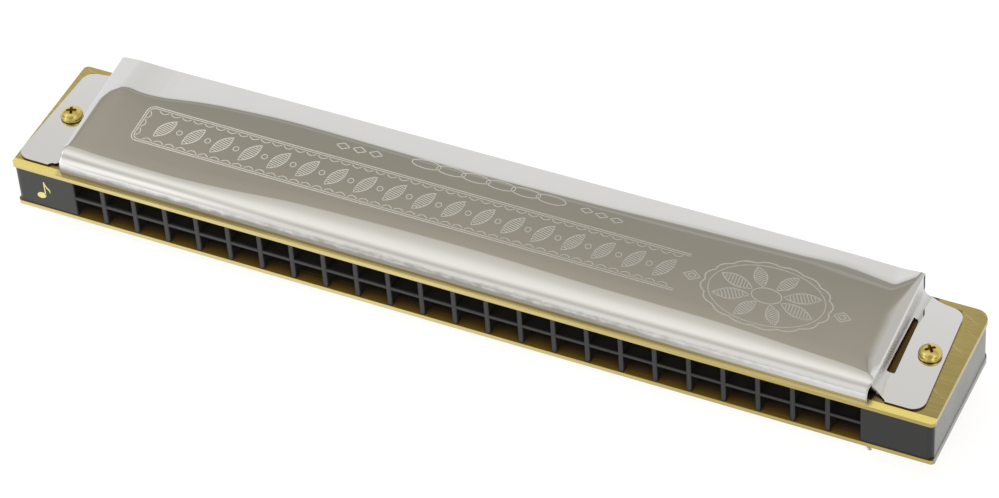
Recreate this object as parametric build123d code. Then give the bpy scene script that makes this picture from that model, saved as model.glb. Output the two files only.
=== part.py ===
from build123d import *

import math
import os

# Tremolo harmonica with 24 columns of paired cells, in millimetres.
# X runs along the length from the low notes to the high notes, +Y points from the mouth side to the rear,
# +Z is up. The origin is at the bottom centre: the lower cover stands on Z = 0.

# ---- driving dimensions -------------------------------------------------------------------------------
body_length = 182.0
body_depth = 28.9
plate_thickness = 1.1
comb_height = 8.4
cover_height = 5.7

# comb
comb_inset_end = 0.2
comb_inset_side = 0.15
column_count = 24
column_pitch = 6.52
column_centre_x = -0.4
rib_thickness = 0.95
mid_wall_thickness = 0.75
mid_wall_setback = 0.1
cell_rear_y = 24.9
block_corner_radius = 1.2
rib_edge_chamfer = 0.15
wall_edge_chamfer = 0.15
pilot_extra_depth = 0.2

# reed plates
plate_bevel_depth = 1.4
plate_bevel_drop = 0.2
plate_front_radius = 0.8
plate_rear_left_radius = 1.0
plate_rear_right_radius = 2.6
plate_edge_radius = 0.12

# covers
cover_sheet = 0.4
foot_clearance = 0.02
cover_centre_x = -1.3
cover_body_length = 160.2
cover_front_y = 0.65
cover_rear_y = 28.4
cover_slope_deg = 5.0
cover_front_radius = 3.2
cover_shoulder_radius = 8.0
cover_shoulder_deg = 30.0
cover_bend_radius = 18.0
cover_bend_y = 24.0
cover_end_radius = 2.2
tab_front_half_length = 89.5
tab_rear_half_length = 88.1
tab_front_y = 1.6
tab_rear_y = 27.1
tab_corner_radius = 2.4
tab_sweep_length = 3.0
tab_sweep_start = 0.6
wall_overlap = 0.2
notch_apex_y = 4.4
notch_width = 2.9
notch_depth = 0.6
notch_front_y = 1.3
notch_height = 3.1
slot_front_y = 8.4
slot_rear_y = 22.2
slot_width = 1.0
slot_wall_rise = 0.7

# reeds: the lowest note is at the left
reed_longest = 16.4
reed_shortest = 9.2
reed_width = 2.1
reed_thickness = 0.28
reed_lift = 0.04
reed_root_gap = 0.02
reed_slot_clearance = 0.1
reed_slot_tip_clearance = 0.15
reed_pad_length = 2.6
reed_pad_width = 2.9
reed_front_limit_y = 5.2
reed_rear_limit_y = 24.5

# fasteners
rivet_shank_radius = 0.5
rivet_head_radius = 0.85
rivet_head_height = 0.45
rivet_head_chamfer = 0.18
rivet_fit_gap = 0.02
nail_shank_radius = 0.5
nail_head_radius = 1.0
nail_head_height = 0.4
nail_head_round = 0.24
nail_length = 3.3
nail_fit_gap = 0.02
nail_y = 26.9
nail_xs = (-75.0, -45.0, -15.0, 15.0, 45.0, 73.0)
screw_x = 85.4
screw_centre_x = -0.7
screw_y = 14.9
screw_shank_radius = 1.0
screw_head_radius = 2.15
screw_head_rim = 0.55
screw_head_height = 1.75
screw_length = 5.1
screw_hole_radius = 1.2
screw_pilot_radius = 1.03
screw_recess_length = 2.5
screw_recess_width = 0.55
screw_recess_depth = 1.0
screw_recess_turn = 20.0
screw_point_radius = 0.3
screw_point_length = 1.0

# how far a cutting tool runs past the faces that it opens
cut_margin = 1.0

# ---- levels and derived places ------------------------------------------------------------------------
lower_plate_bottom = cover_height
comb_bottom = lower_plate_bottom + plate_thickness
comb_top = comb_bottom + comb_height
upper_plate_top = comb_top + plate_thickness
mid_level = (comb_bottom + comb_top) / 2
front_shift = -body_depth / 2
half_length = body_length / 2
first_rib_x = column_centre_x - column_count / 2 * column_pitch
cell_width = column_pitch - rib_thickness
cell_height = (comb_height - mid_wall_thickness) / 2

nail_spots = [(x, nail_y) for x in nail_xs]
screw_spots = [(screw_centre_x + side * screw_x, screw_y) for side in (-1, 1)]


def column_x(column):
    """Middle of a column of cells, counted from 0 at the low-note end."""
    return first_rib_x + (column + 0.5) * column_pitch


def is_blow(column):
    """Blow and draw cells alternate along the comb, the same way in both rows."""
    return column % 2 == 0


def reed_length(column):
    """Low notes have long reeds, high notes short ones."""
    share = column / (column_count - 1)
    return reed_longest * (reed_shortest / reed_longest) ** share


def block(x_low, x_high, y_low, y_high, z_low, z_high):
    """Axis-aligned box from its limits, with Y counted from the mouth-side edge of the plates."""
    box = Box(x_high - x_low, y_high - y_low, z_high - z_low, align=(Align.MIN, Align.MIN, Align.MIN))
    return Pos(x_low, y_low + front_shift, z_low) * box


def pin(x, y, z_low, z_high, radius):
    """Upright cylinder from its limits."""
    cylinder = Cylinder(radius, z_high - z_low, align=(Align.CENTER, Align.CENTER, Align.MIN))
    return Pos(x, y + front_shift, z_low) * cylinder


def prism_along_x(x_low, x_high, points):
    """Prism with a Y-Z section, Y counted from the mouth-side edge of the plates."""
    section = make_face(Polyline(*[(y + front_shift, z) for y, z in points], close=True))
    return Pos(x_low, 0, 0) * extrude(Plane.YZ * section, amount=x_high - x_low)


def prism_along_z(z_low, z_high, points):
    """Prism with an X-Y outline, Y counted from the mouth-side edge of the plates."""
    outline = make_face(Polyline(*[(x, y + front_shift) for x, y in points], close=True))
    return Pos(0, 0, z_low) * extrude(outline, amount=z_high - z_low)


def mirrored(shape):
    """The lower half of the instrument is the upper half turned over about the comb's middle level."""
    return mirror(shape, about=Plane.XY.offset(mid_level))


def rounded_slab(inset_end, inset_side, z_low, thickness, front_radius):
    """Flat slab with the outline of the instrument; its rear right corner is the roundest."""
    length = body_length - 2 * inset_end
    depth = body_depth - 2 * inset_side
    slab = Pos(0, 0, z_low) * Box(length, depth, thickness, align=(Align.CENTER, Align.CENTER, Align.MIN))
    uprights = slab.edges().filter_by(Axis.Z).sort_by(Axis.Y)
    slab = fillet(uprights[:2], front_radius)
    rear = slab.edges().filter_by(Axis.Z).sort_by(Axis.Y)[-2:].sort_by(Axis.X)
    slab = fillet(rear[0], plate_rear_left_radius)
    rear = slab.edges().filter_by(Axis.Z).sort_by(Axis.Y)[-2:].sort_by(Axis.X)
    return fillet(rear[-1], plate_rear_right_radius)


# ---- comb ---------------------------------------------------------------------------------------------
def make_comb():
    """Black moulding: solid end blocks, a closed rear spine, ribs between columns and a wall between rows."""
    comb = rounded_slab(comb_inset_end, comb_inset_side, comb_bottom, comb_height, block_corner_radius)
    wall_front_y = comb_inset_side + mid_wall_setback
    wall_half = mid_wall_thickness / 2
    below = comb_bottom - cut_margin
    above = comb_top + cut_margin
    cutters = []
    for column in range(column_count):
        x_low = column_x(column) - cell_width / 2
        x_high = column_x(column) + cell_width / 2
        flare = [
            (x_low - 2 * rib_edge_chamfer, comb_inset_side - rib_edge_chamfer),
            (x_low, comb_inset_side + rib_edge_chamfer),
            (x_high, comb_inset_side + rib_edge_chamfer),
            (x_high + 2 * rib_edge_chamfer, comb_inset_side - rib_edge_chamfer),
        ]
        wall_low = mid_level - wall_half
        wall_high = mid_level + wall_half
        cutters.append(prism_along_z(below, above, flare))
        cutters.append(block(x_low, x_high, -cut_margin, cell_rear_y, wall_high, above))
        cutters.append(block(x_low, x_high, -cut_margin, cell_rear_y, below, wall_low))
        cutters.append(
            block(x_low, x_high, -cut_margin, wall_front_y, wall_low - cut_margin, wall_high + cut_margin)
        )
        for up in (-1, 1):
            bevel = [
                (wall_front_y - cut_margin, mid_level + up * (wall_half - wall_edge_chamfer - cut_margin)),
                (wall_front_y + wall_edge_chamfer + cut_margin, mid_level + up * (wall_half + cut_margin)),
                (wall_front_y - cut_margin, mid_level + up * (wall_half + cut_margin)),
            ]
            cutters.append(prism_along_x(x_low, x_high, bevel))
    for x, y in screw_spots:
        pilot_depth = screw_length - cover_sheet - plate_thickness + pilot_extra_depth
        cutters.append(pin(x, y, comb_top - pilot_depth, above, screw_pilot_radius))
        cutters.append(pin(x, y, below, comb_bottom + pilot_depth, screw_pilot_radius))
    for x, y in nail_spots:
        pilot_depth = nail_length - plate_thickness + pilot_extra_depth
        radius = nail_shank_radius + nail_fit_gap
        cutters.append(pin(x, y, comb_top - pilot_depth, above, radius))
        cutters.append(pin(x, y, below, comb_bottom + pilot_depth, radius))
    return comb - cutters


# ---- reeds --------------------------------------------------------------------------------------------
def reed_layout(column):
    """Root line, tip line, pad middle, slot limits and which way the tongue points, for the upper row.

    Draw reeds are on the cover side of the plate and are riveted near the mouth. Blow reeds are on the cell
    side and are riveted near the rear.
    """
    length = reed_length(column)
    if is_blow(column):
        root_y = reed_rear_limit_y - reed_pad_length
        direction = -1
        surface = comb_top
        side = -1
    else:
        root_y = reed_front_limit_y + reed_pad_length
        direction = 1
        surface = upper_plate_top
        side = 1
    return {
        "x": column_x(column),
        "root_y": root_y,
        "tip_y": root_y + direction * length,
        "pad_y": root_y - direction * reed_pad_length / 2,
        "direction": direction,
        "surface": surface,
        "side": side,
    }


def span(a, b):
    """Two numbers in rising order."""
    return (a, b) if a < b else (b, a)


def make_tongue(column):
    """The free part of one reed: a strip that narrows towards its tip and starts just off the pad."""
    lay = reed_layout(column)
    start_y = lay["root_y"] + lay["direction"] * reed_root_gap
    z_near = lay["surface"] + lay["side"] * reed_lift
    z_far = z_near + lay["side"] * reed_thickness
    z_low, z_high = span(z_near, z_far)
    y_low, y_high = span(start_y, lay["tip_y"])
    half = reed_width / 2
    return block(lay["x"] - half, lay["x"] + half, y_low, y_high, z_low, z_high)


def make_pad(column):
    """The riveted root of one reed, lying on the plate, with a hole for its rivet."""
    lay = reed_layout(column)
    z_low, z_high = span(lay["surface"], lay["surface"] + lay["side"] * (reed_lift + reed_thickness))
    y_low, y_high = span(lay["root_y"], lay["root_y"] - lay["direction"] * reed_pad_length)
    half = reed_pad_width / 2
    pad = block(lay["x"] - half, lay["x"] + half, y_low, y_high, z_low, z_high)
    hole_radius = rivet_shank_radius + rivet_fit_gap
    return pad - pin(lay["x"], lay["pad_y"], z_low - cut_margin, z_high + cut_margin, hole_radius)


def make_rivet(column):
    """Brass rivet through the pad and the plate, with a low head on each side."""
    lay = reed_layout(column)
    outer = lay["surface"] + lay["side"] * (reed_lift + reed_thickness)
    inner = upper_plate_top if lay["side"] < 0 else comb_top
    z_low, z_high = span(outer, inner)
    rivet = pin(lay["x"], lay["pad_y"], z_low, z_high, rivet_shank_radius)
    rivet += pin(lay["x"], lay["pad_y"], z_high, z_high + rivet_head_height, rivet_head_radius)
    rivet += pin(lay["x"], lay["pad_y"], z_low - rivet_head_height, z_low, rivet_head_radius)
    rims = rivet.edges().filter_by(GeomType.CIRCLE).sort_by(Axis.Z)
    return chamfer([rims[0], rims[-1]], rivet_head_chamfer)


# ---- reed plates --------------------------------------------------------------------------------------
def make_upper_plate():
    """Brass plate with a shallow bevel along the mouth side, a slot for each reed and all fastener holes."""
    plate = rounded_slab(0, 0, comb_top, plate_thickness, plate_front_radius)
    plate = fillet(plate.faces().sort_by(Axis.Z)[-1].edges(), plate_edge_radius)
    below = comb_top - cut_margin
    above = upper_plate_top + cut_margin
    ramp = plate_bevel_drop / plate_bevel_depth
    plate -= prism_along_x(
        -half_length - cut_margin,
        half_length + cut_margin,
        [
            (-cut_margin, upper_plate_top - plate_bevel_drop - ramp * cut_margin),
            (plate_bevel_depth, upper_plate_top),
            (plate_bevel_depth, above),
            (-cut_margin, above),
        ],
    )
    cutters = []
    for column in range(column_count):
        lay = reed_layout(column)
        y_low, y_high = span(lay["root_y"], lay["tip_y"] + lay["direction"] * reed_slot_tip_clearance)
        half = reed_width / 2 + reed_slot_clearance
        x = lay["x"]
        cutters.append(block(x - half, x + half, y_low, y_high, below, above))
        cutters.append(pin(x, lay["pad_y"], below, above, rivet_shank_radius + rivet_fit_gap))
    for x, y in screw_spots:
        cutters.append(pin(x, y, below, above, screw_hole_radius))
    for x, y in nail_spots:
        cutters.append(pin(x, y, below, above, nail_shank_radius + nail_fit_gap))
    return plate - cutters


# ---- covers -------------------------------------------------------------------------------------------
def cover_section(inward):
    """Closed Y-Z section under the cover's surface, moved inwards by the given amount.

    From the mouth side: a short upright foot, a front roll, a softer shoulder, a long flat slope up to the
    rear, and a bend into a level band at the rear edge.
    """
    front_y = cover_front_y + inward + front_shift
    plate = upper_plate_top
    turn = cover_shoulder_deg
    slope = math.radians(cover_slope_deg)
    roll_start = plate + cover_roll_start()
    open_past = 0 if inward == 0 else cut_margin
    rear_y = cover_rear_y + front_shift + open_past
    foot_z = plate - cut_margin - open_past
    foot = Line((front_y, foot_z), (front_y, roll_start))
    roll = JernArc(foot @ 1, (0, 1), cover_front_radius - inward, -(90 - turn))
    shoulder = JernArc(roll @ 1, roll % 1, cover_shoulder_radius - inward, -(turn - cover_slope_deg))
    bend_start_y = cover_bend_y + front_shift - cover_bend_radius * math.sin(slope)
    slope_length = (bend_start_y - cover_shoulder_end_y()) / math.cos(slope)
    incline = Line(shoulder @ 1, shoulder @ 1 + (shoulder % 1) * slope_length)
    bend = JernArc(incline @ 1, incline % 1, cover_bend_radius - inward, -cover_slope_deg)
    band = Line(bend @ 1, (rear_y, (bend @ 1).Y))
    rear = Line(band @ 1, (rear_y, foot_z))
    base = Line(rear @ 1, foot @ 0)
    return make_face(Curve() + [foot, roll, shoulder, incline, bend, band, rear, base])


def cover_shoulder_end_y():
    """Where the shoulder arc ends and the flat slope starts."""
    turn = math.radians(cover_shoulder_deg)
    slope = math.radians(cover_slope_deg)
    reach = cover_front_radius * (1 - math.sin(turn))
    reach += cover_shoulder_radius * (math.sin(turn) - math.sin(slope))
    return cover_front_y + front_shift + reach


def cover_roll_start():
    """Height of the roll's start above the plate, so that the rear band comes out at the cover's height."""
    turn = math.radians(cover_shoulder_deg)
    slope = math.radians(cover_slope_deg)
    bend_start_y = cover_bend_y + front_shift - cover_bend_radius * math.sin(slope)
    rise = cover_front_radius * math.cos(turn)
    rise += cover_shoulder_radius * (math.cos(slope) - math.cos(turn))
    rise += (bend_start_y - cover_shoulder_end_y()) * math.tan(slope)
    rise += cover_bend_radius * (1 - math.cos(slope))
    return cover_height - rise


def cover_bulk(inward):
    """Solid block under the cover's surface, with its end edges rounded."""
    length = cover_body_length - 2 * inward
    section = Plane.YZ * cover_section(inward)
    bulk = Pos(cover_centre_x, 0, 0) * extrude(section, amount=length / 2, both=True)
    rims = ShapeList()
    for end_face in (bulk.faces().sort_by(Axis.X)[0], bulk.faces().sort_by(Axis.X)[-1]):
        for edge in end_face.edges():
            middle = edge @ 0.5
            on_foot = middle.Z < upper_plate_top
            on_rear = middle.Y > cover_rear_y + front_shift - 0.01
            if not on_foot and not on_rear:
                rims.append(edge)
    return fillet(rims, cover_end_radius - inward)


def tab_outline():
    """Outline of the flat sheet that both end tabs are cut from, seen from above."""
    corners = []
    for side in (1, -1):
        ends = [(tab_front_half_length, tab_front_y), (tab_rear_half_length, tab_rear_y)]
        if side < 0:
            ends.reverse()
        corners += [(cover_centre_x + side * x, y + front_shift) for x, y in ends]
    outline = Polyline(*corners, close=True)
    return fillet(make_face(outline).vertices(), tab_corner_radius)


def make_upper_cover():
    """Bent stainless sheet: rolled front, flat slope, rear band, end walls and screwed end tabs."""
    half_body = cover_body_length / 2
    top = upper_plate_top
    foot_level = top - plate_bevel_drop - foot_clearance
    notch_tool_height = top + notch_height - foot_level
    tabs = Pos(0, 0, top) * extrude(tab_outline(), amount=cover_sheet)
    for side in (-1, 1):
        foot_x = cover_centre_x + side * half_body
        tip_x = cover_centre_x + side * (tab_rear_half_length - tab_corner_radius)
        wedge = Polyline(
            (foot_x - side * wall_overlap, tab_rear_y - tab_sweep_length + front_shift),
            (foot_x - side * wall_overlap, cover_rear_y + front_shift),
            (foot_x + side * tab_sweep_start, cover_rear_y + front_shift),
            (tip_x, tab_rear_y + front_shift),
            (tip_x, tab_rear_y - tab_sweep_length + front_shift),
            close=True,
        )
        tabs += Pos(0, 0, top) * extrude(make_face(wedge), amount=cover_sheet)
    cover = cover_bulk(0) + tabs
    cover -= block(
        -half_length, half_length, -cut_margin, body_depth + cut_margin, top - 3 * cut_margin, foot_level
    )
    cover -= cover_bulk(cover_sheet)
    for side in (-1, 1):
        foot_x = cover_centre_x + side * half_body
        notch = Polyline(
            (foot_x + side * foot_clearance, front_shift),
            (foot_x - side * notch_depth, notch_apex_y + front_shift),
            (foot_x + side * notch_width, notch_front_y + front_shift),
            (foot_x + side * notch_width, front_shift),
            close=True,
        )
        cover -= Pos(0, 0, foot_level) * extrude(make_face(notch), amount=notch_tool_height)
        x_low, x_high = span(foot_x - side * notch_depth, foot_x + side * slot_width)
        relief = block(x_low, x_high, slot_front_y, slot_rear_y, top - cut_margin, top + slot_wall_rise)
        cover -= relief
    for x, y in screw_spots:
        cover -= pin(x, y, top - cut_margin, top + cut_margin, screw_hole_radius)
    return cover - make_upper_plate()


# ---- fasteners ----------------------------------------------------------------------------------------
def make_screw(x, y):
    """Pan-head screw with a cross recess, driven through a cover tab and the reed plate into the comb."""
    seat = upper_plate_top + cover_sheet
    dome = screw_head_height - screw_head_rim
    dome_radius = (screw_head_radius**2 + dome**2) / (2 * dome)
    rim_point = (screw_head_radius, screw_head_rim)
    half_angle = math.asin(screw_head_radius / dome_radius) / 2
    mid_point = (
        dome_radius * math.sin(half_angle),
        screw_head_height - dome_radius * (1 - math.cos(half_angle)),
    )
    crown = ThreePointArc(rim_point, mid_point, (0, screw_head_height))
    sides = Polyline(
        (0, screw_head_height),
        (0, -screw_length),
        (screw_point_radius, -screw_length),
        (screw_shank_radius, -screw_length + screw_point_length),
        (screw_shank_radius, 0),
        (screw_head_radius, 0),
        rim_point,
    )
    blank = revolve(Plane.XZ * make_face(Curve() + [crown, sides]), axis=Axis.Z)
    for angle in (screw_recess_turn, screw_recess_turn + 90):
        arm = Box(
            screw_recess_length,
            screw_recess_width,
            screw_recess_depth + cut_margin,
            align=(Align.CENTER, Align.CENTER, Align.MIN),
        )
        blank -= Pos(0, 0, screw_head_height - screw_recess_depth) * (Rot(0, 0, angle) * arm)
    return Pos(x, y + front_shift, seat) * blank


def make_nail(x, y):
    """Short brass nail with a low round head, through the reed plate into the comb."""
    nail = pin(x, y, upper_plate_top - nail_length, upper_plate_top, nail_shank_radius)
    nail += pin(x, y, upper_plate_top, upper_plate_top + nail_head_height, nail_head_radius)
    rim = nail.edges().filter_by(GeomType.CIRCLE).sort_by(Axis.Z)[-1]
    return fillet(rim, nail_head_round)


# ---- writing ------------------------------------------------------------------------------------------
def write(name, shapes):
    """One STEP file for each node; a list becomes a group of separate solids."""
    shape = Compound(children=shapes) if isinstance(shapes, list) else shapes
    shape.label = name
    export_step(shape, os.path.join("parts", name + ".step"))


def main():
    os.makedirs("parts", exist_ok=True)
    columns = range(column_count)
    write("comb", make_comb())

    for name, shapes in {
        "cover_screws": [make_screw(x, y) for x, y in screw_spots],
        "plate_nails": [make_nail(x, y) for x, y in nail_spots],
    }.items():
        write(name, shapes + [mirrored(shape) for shape in shapes])

    halves = {
        "reed_plate": make_upper_plate(),
        "cover": make_upper_cover(),
        "reed_rivets": [make_rivet(column) for column in columns],
        "reed_pads": [make_pad(column) for column in columns],
    }
    for column in columns:
        kind = "blow" if is_blow(column) else "draw"
        halves[f"{kind}_reed_{column + 1:02d}"] = make_tongue(column)
    for name, shapes in halves.items():
        write("upper_" + name, shapes)
        if isinstance(shapes, list):
            write("lower_" + name, [mirrored(shape) for shape in shapes])
        else:
            write("lower_" + name, mirrored(shapes))


main()
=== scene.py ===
import math

import bmesh
import bpy
from mathutils import Matrix, Vector


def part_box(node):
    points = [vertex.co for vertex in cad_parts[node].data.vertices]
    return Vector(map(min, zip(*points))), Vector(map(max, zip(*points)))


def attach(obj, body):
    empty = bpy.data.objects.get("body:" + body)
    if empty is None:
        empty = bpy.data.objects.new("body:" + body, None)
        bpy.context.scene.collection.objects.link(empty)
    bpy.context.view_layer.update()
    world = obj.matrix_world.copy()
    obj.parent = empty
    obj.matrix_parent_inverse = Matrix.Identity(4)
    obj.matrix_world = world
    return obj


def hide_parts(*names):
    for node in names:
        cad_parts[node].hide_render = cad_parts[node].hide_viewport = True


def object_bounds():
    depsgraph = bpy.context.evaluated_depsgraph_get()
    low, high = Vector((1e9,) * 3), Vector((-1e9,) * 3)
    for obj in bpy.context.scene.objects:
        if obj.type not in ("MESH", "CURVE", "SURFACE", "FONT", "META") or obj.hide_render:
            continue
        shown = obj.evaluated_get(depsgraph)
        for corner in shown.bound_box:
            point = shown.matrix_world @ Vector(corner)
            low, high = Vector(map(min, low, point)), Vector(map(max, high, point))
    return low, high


# Looks of a tremolo harmonica: chromed covers, brass reed plates, black comb, brass reeds and fasteners.
# Shapes are worked out in millimetres in the CAD frame (X along the length from the low notes, +Y to the
# rear, +Z up) and turned into metres when a mesh is made.

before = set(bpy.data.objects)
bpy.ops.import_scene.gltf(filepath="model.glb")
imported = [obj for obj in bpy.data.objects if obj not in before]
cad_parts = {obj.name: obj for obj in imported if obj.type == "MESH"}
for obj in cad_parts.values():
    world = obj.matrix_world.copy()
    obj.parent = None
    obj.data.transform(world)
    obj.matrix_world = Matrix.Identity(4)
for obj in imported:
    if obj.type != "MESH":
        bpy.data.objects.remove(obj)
cad_low, cad_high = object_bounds()
MM = 0.001


def box_mm(node):
    """Lowest and highest corner of a CAD node, in millimetres."""
    low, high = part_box(node)
    return low / MM, high / MM


# ---- places read from the frame ----
plate_low, plate_high = box_mm("upper_reed_plate")
cover_low, cover_high = box_mm("upper_cover")
comb_low, comb_high = box_mm("comb")
screws_low, screws_high = box_mm("cover_screws")
FRONT_Y = plate_low.y
PLATE_TOP = plate_high.z
COVER_TOP = cover_high.z
COVER_CENTRE_X = (cover_low.x + cover_high.x) / 2
MID_LEVEL = (comb_low.z + comb_high.z) / 2
BODY_NODES = sorted(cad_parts)

# ---- cover sheet, in millimetres; "in" distances count from the mouth-side edge of the plates ----
SHEET = 0.4
COVER_HALF = 80.1
COVER_FRONT_IN = 0.65
COVER_REAR_IN = 28.4
SLOPE = math.radians(5.0)
SHOULDER_TURN = math.radians(30.0)
FRONT_RADIUS = 3.2
FOOT_SINK = 0.08

# The pressed sheet isn't the same all along: (X, value) pairs that a smooth curve runs through.
SHOULDER_RADII = [
    (-81, 4.2), (-71, 4.0), (-60, 4.0), (-50, 5.2), (-32, 9), (-1, 10.5),
    (27, 9), (46, 8.7), (65, 6.5), (74, 5.5), (79, 4.3),
]
BEND_RADII = [(-62, 14), (-42, 15), (-11, 16), (18, 19), (38, 30), (57, 26), (66, 45), (73, 35)]
BAND_STARTS = [
    (-81.4, 15.6), (-79.5, 18.6), (-78, 20.6), (-76.2, 21.2), (-73.6, 20.9), (-70, 21.1), (-66, 21.8),
    (-62, 22.5), (-57, 23.1), (-42, 23.9), (-11, 23.6), (18, 24.1), (38, 25.2), (57, 25.5), (61, 26.0),
    (64.5, 26.4), (66.5, 26.3), (71, 25.5), (74, 25.15), (76, 26.5), (77.6, 28.4), (78.8, 30.8),
]
LIFTS = [(-81.4, 0.5), (-76, 0.27), (-70, 0.13), (-62, 0.05), (-50, 0), (40, 0), (66, -0.15), (79, -0.35)]
LAST_BEND_IN = 28.2

# How finely each part of the section is stepped. The end walls start at the roll's shoulder.
ROLL_STEPS = 20
SHOULDER_STEPS = 12
SLOPE_STEPS = 7
BEND_STEPS = 14
BAND_STEPS = 3
WALL_ROW = ROLL_STEPS + 1

# The slope is one plane, set by where a plain bend of this radius would meet the level band.
PLAIN_BEND_RADIUS = 18.0
PLAIN_BAND_IN = 24.0

# End walls, the slot at their foot, and the tabs that are screwed down. Outer values count from the wall.
SLOT_FRONT_IN = 8.4
SLOT_REAR_IN = 22.2
SLOT_OUTER_FRONT = 1.85
SLOT_OUTER_REAR = 1.35
SLOT_CORNER_OUT = 0.12
SLOT_CORNERS_IN = (0.35, 1.2, 0.4)
FILLET_STEPS = 6
SLOT_FILLET_STEPS = 3
FEET_IN = (6.4, SLOT_FRONT_IN, 13.0, 17.6, SLOT_REAR_IN, 24.2, 26.3, COVER_REAR_IN)
FEET_BEFORE_SLOT = 3
FEET_AFTER_SLOT = 4
FOOT_FILLETS = [(2.2, 1.9), (5.5, 1.3), (8.4, 1.15), (13, 0.95), (22.2, 0.95), (28.4, 1.4)]
TAB_FRONT_HALF = 89.5
TAB_REAR_HALF = 88.1
TAB_FRONT_IN = 1.6
TAB_REAR_IN = 27.1
TAB_CORNER = 2.4
TAB_NOTCH_WIDTH = 2.56
TAB_SWEEP = 6.0
NOTCH_SCOOP = 0.75
SCREW_HOLE = 1.2

# The ends aren't quite square to the length: (in, how far the end is shifted along X) for each.
END_SHIFTS = {-1: [(0.6, 0.55), (28.4, -0.6)], 1: [(0.6, -0.4), (1.3, -0.4), (2.4, -0.05), (28.4, -0.1)]}
SHIFT_START = 70.0
SHIFT_FULL = 79.0

# The top turns into each end wall through a wide soft arc and then a tight one.
END_SOFT_RADIUS = 12.3
END_TIGHT_RADIUS = 0.9
END_SOFT_TURN = math.radians(20.0)
END_SOFT_STEPS = 8
END_TIGHT_STEPS = 12
END_SHARES_LEFT = [(2.2, 0.08), (4.6, 0.25), (9.0, 0.35), (15.0, 0.5), (20.0, 0.65), (28.4, 0.2)]
END_SHARES_RIGHT = [(2.2, 0.08), (4.6, 0.45), (8.0, 0.7), (20.0, 0.7), (28.4, 0.25)]

# Screws: polished domes with a tapered cross recess, which is given as (height over the crown, half length,
# half width) of its mouth and of its floor.
SCREW_HEAD_RADIUS = 2.15
SCREW_RIM_HEIGHT = 0.35
SCREW_SHANK_RADIUS = 1.0
SCREW_HEIGHT = screws_high.z - PLATE_TOP - SHEET
SCREW_LENGTH = 5.1
SCREW_TURNS = (math.radians(24), math.radians(38))
RECESS_MOUTH = (0.3, 1.3, 0.34)
RECESS_FLOOR = (-1.05, 0.42, 0.14)
SCREW_Y = (screws_low.y + screws_high.y) / 2
SCREW_XS = (screws_low.x + SCREW_HEAD_RADIUS, screws_high.x - SCREW_HEAD_RADIUS)


# ---- curves ----
def slope_at(points, i):
    """Slope of the smooth curve at one of its points; level at both ends and at peaks."""
    if i in (0, len(points) - 1):
        return 0.0
    (xa, ya), (xb, yb), (xc, yc) = points[i - 1 : i + 2]
    before = (yb - ya) / (xb - xa)
    after = (yc - yb) / (xc - xb)
    return 2 * before * after / (before + after) if before * after > 0 else 0.0


def smooth_through(points, x):
    """Value at x of a smooth curve through a few (x, value) points, level beyond both ends."""
    if x <= points[0][0]:
        return points[0][1]
    if x >= points[-1][0]:
        return points[-1][1]
    i = max(k for k, point in enumerate(points) if point[0] <= x)
    (xa, ya), (xb, yb) = points[i], points[i + 1]
    width = xb - xa
    t = (x - xa) / width
    value = (1 + 2 * t) * (1 - t) ** 2 * ya + t * t * (3 - 2 * t) * yb
    value += t * (1 - t) ** 2 * width * slope_at(points, i)
    return value - t * t * (1 - t) * width * slope_at(points, i + 1)


def arc_steps(start, stop, count):
    """Evenly spaced values after start, up to and including stop."""
    return [start + (stop - start) * (i + 1) / count for i in range(count)]


def circle(steps):
    """Evenly spaced angles once round."""
    return [math.tau * i / steps for i in range(steps)]


def curve_points(start, control, stop, count=8):
    """Points along a quadratic curve after its start, up to and including its end."""
    points = []
    for t in arc_steps(0.0, 1.0, count):
        weights = ((1 - t) ** 2, 2 * t * (1 - t), t * t)
        points.append(tuple(sum(w * v for w, v in zip(weights, axis)) for axis in zip(start, control, stop)))
    return points


def rounded_corner(corner, before, after, radius, steps=10):
    """Points along an arc of this radius that rounds off a corner of an outline."""
    corner, before, after = Vector(corner), Vector(before), Vector(after)
    to_before = (before - corner).normalized()
    to_after = (after - corner).normalized()
    half = to_before.angle(to_after) / 2
    centre = corner + (to_before + to_after).normalized() * radius / math.sin(half)
    start = corner + to_before * radius / math.tan(half) - centre
    stop = corner + to_after * radius / math.tan(half) - centre
    turn = start.angle_signed(stop)
    return [tuple(centre + Matrix.Rotation(-turn * i / steps, 2) @ start) for i in range(steps + 1)]


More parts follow.
